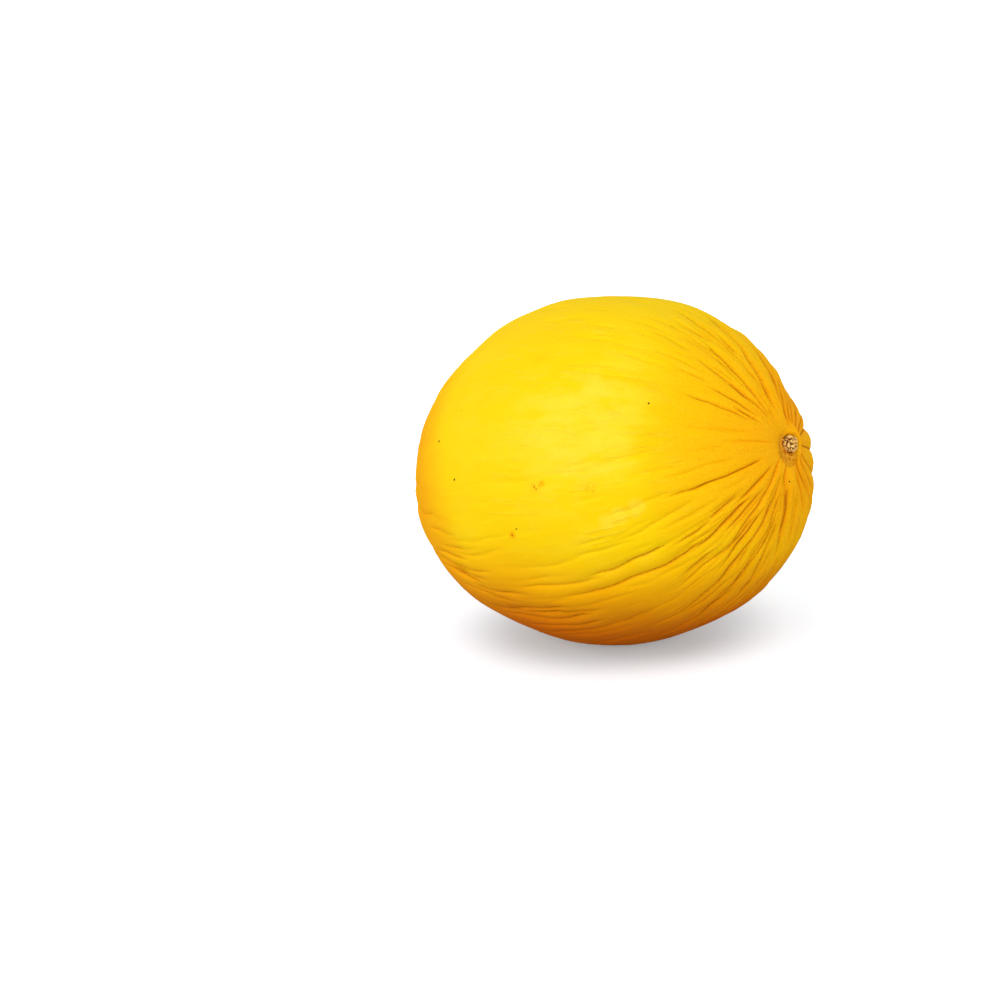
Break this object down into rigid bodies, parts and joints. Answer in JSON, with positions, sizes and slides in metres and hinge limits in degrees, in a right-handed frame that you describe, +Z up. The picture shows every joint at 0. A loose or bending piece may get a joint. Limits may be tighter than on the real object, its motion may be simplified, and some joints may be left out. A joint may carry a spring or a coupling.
{
  "type": "melon",
  "caption": "Whole ripe yellow melon, slightly egg-shaped, with pleats that run out from a dimpled stem end and a dry stem stub; it lies on a small flat spot.",
  "frame": {"origin": "on the resting plane, under the middle of the whole fruit's box", "axes": "+Z up from the flat spot that the fruit rests on, +X towards the stem end along the fruit's longest extent, +Y across the fruit"},
  "size_m": [0.1882, 0.162, 0.1596],
  "materials": {
    "rind": "satin waxy yellow rind, deeper orange-yellow in the furrows and at the stem end",
    "dry_stem": "dry corky tan with dark red-brown crevices"
  },
  "bodies": {
    "root": {"melon": "rind", "stem_stub": "dry_stem"}
  },
  "joints": []
}
